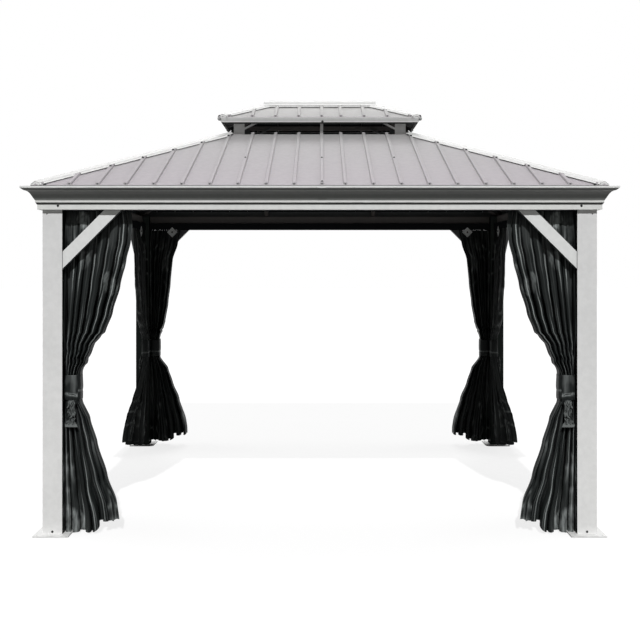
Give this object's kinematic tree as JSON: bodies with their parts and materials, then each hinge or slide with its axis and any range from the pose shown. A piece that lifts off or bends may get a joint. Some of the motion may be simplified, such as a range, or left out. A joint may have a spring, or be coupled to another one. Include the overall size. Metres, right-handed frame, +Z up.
{
  "type": "metal gazebo",
  "caption": "Open-sided rectangular gazebo on square metal posts, with mitred gutters, a two-tier hipped roof of ribbed sheet and tied-back corner curtains.",
  "frame": {"origin": "on the ground, in the middle of the plan", "axes": "+X along the long side, -Y towards the front, +Z up"},
  "size_m": [3.6, 3.003, 2.9262],
  "materials": {
    "frame_paint": "satin light grey powder coat",
    "gutter_paint": "satin grey powder coat",
    "roof_paint": "satin grey coated steel sheet",
    "cap_paint": "satin pale grey coated steel sheet",
    "dark_paint": "charcoal powder coat",
    "plate_paint": "dark grey coated steel plate",
    "curtain_cloth": "black woven polyester"
  },
  "bodies": {
    "root": {"beam_back": "frame_paint", "beam_front": "frame_paint", "beam_left": "frame_paint", "beam_right": "frame_paint", "common_rafters": "dark_paint", "curtain_back_left": "curtain_cloth", "curtain_back_right": "curtain_cloth", "curtain_front_left": "curtain_cloth", "curtain_front_right": "curtain_cloth", "curtain_ties": "curtain_cloth", "curtain_tracks": "dark_paint", "foot_back_left": "frame_paint", "foot_back_right": "frame_paint", "foot_front_left": "frame_paint", "foot_front_right": "frame_paint", "gutter_back": "gutter_paint", "gutter_front": "gutter_paint", "gutter_left": "gutter_paint", "gutter_right": "gutter_paint", "gutter_splices": "gutter_paint", "hip_rafters": "dark_paint", "knee_braces_back_left": "frame_paint", "knee_braces_back_right": "frame_paint", "knee_braces_front_left": "frame_paint", "knee_braces_front_right": "frame_paint", "lower_hip_caps": "cap_paint", "lower_roof_back": "roof_paint", "lower_roof_front": "roof_paint", "lower_roof_left": "roof_paint", "lower_roof_right": "roof_paint", "post_back_left": "frame_paint", "post_back_right": "frame_paint", "post_front_left": "frame_paint", "post_front_right": "frame_paint", "ridge_cap": "cap_paint", "roof_ring_beam": "dark_paint", "track_stop_plates": "plate_paint", "upper_fascia": "frame_paint", "upper_frame": "dark_paint", "upper_hip_caps": "cap_paint", "upper_roof_back": "roof_paint", "upper_roof_front": "roof_paint", "upper_roof_left": "roof_paint", "upper_roof_right": "roof_paint", "vent_posts": "frame_paint"}
  },
  "joints": []
}
